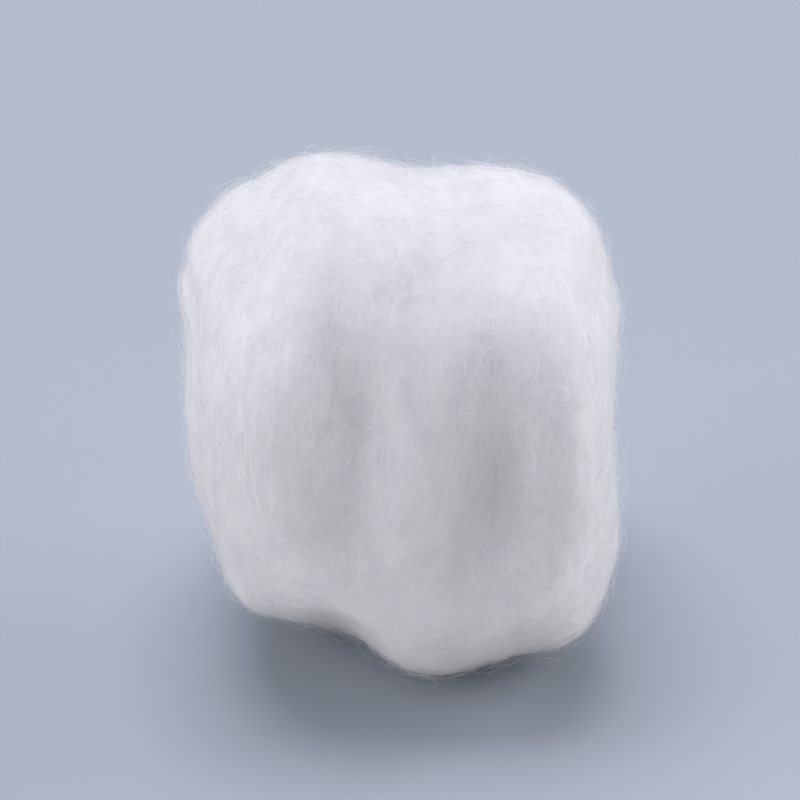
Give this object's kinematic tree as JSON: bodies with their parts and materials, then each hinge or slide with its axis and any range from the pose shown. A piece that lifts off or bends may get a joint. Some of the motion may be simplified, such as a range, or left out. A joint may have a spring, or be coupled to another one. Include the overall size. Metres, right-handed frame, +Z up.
{
  "type": "cotton ball",
  "caption": "Soft ball of combed cotton, rolled into an uneven barrel with shallow hollows in front, a soft spiral at each end and a small flat to rest on.",
  "frame": {"origin": "under the middle of the ball's box, on the flat that it rests on", "axes": "+Z up, +X along the roll's axis towards its flatter end, and the hollowed front faces -Y"},
  "size_m": [0.036, 0.0408, 0.0413],
  "materials": {
    "cotton": "matt, fluffy combed fibres"
  },
  "bodies": {
    "root": {"cotton_ball": "cotton"}
  },
  "joints": []
}
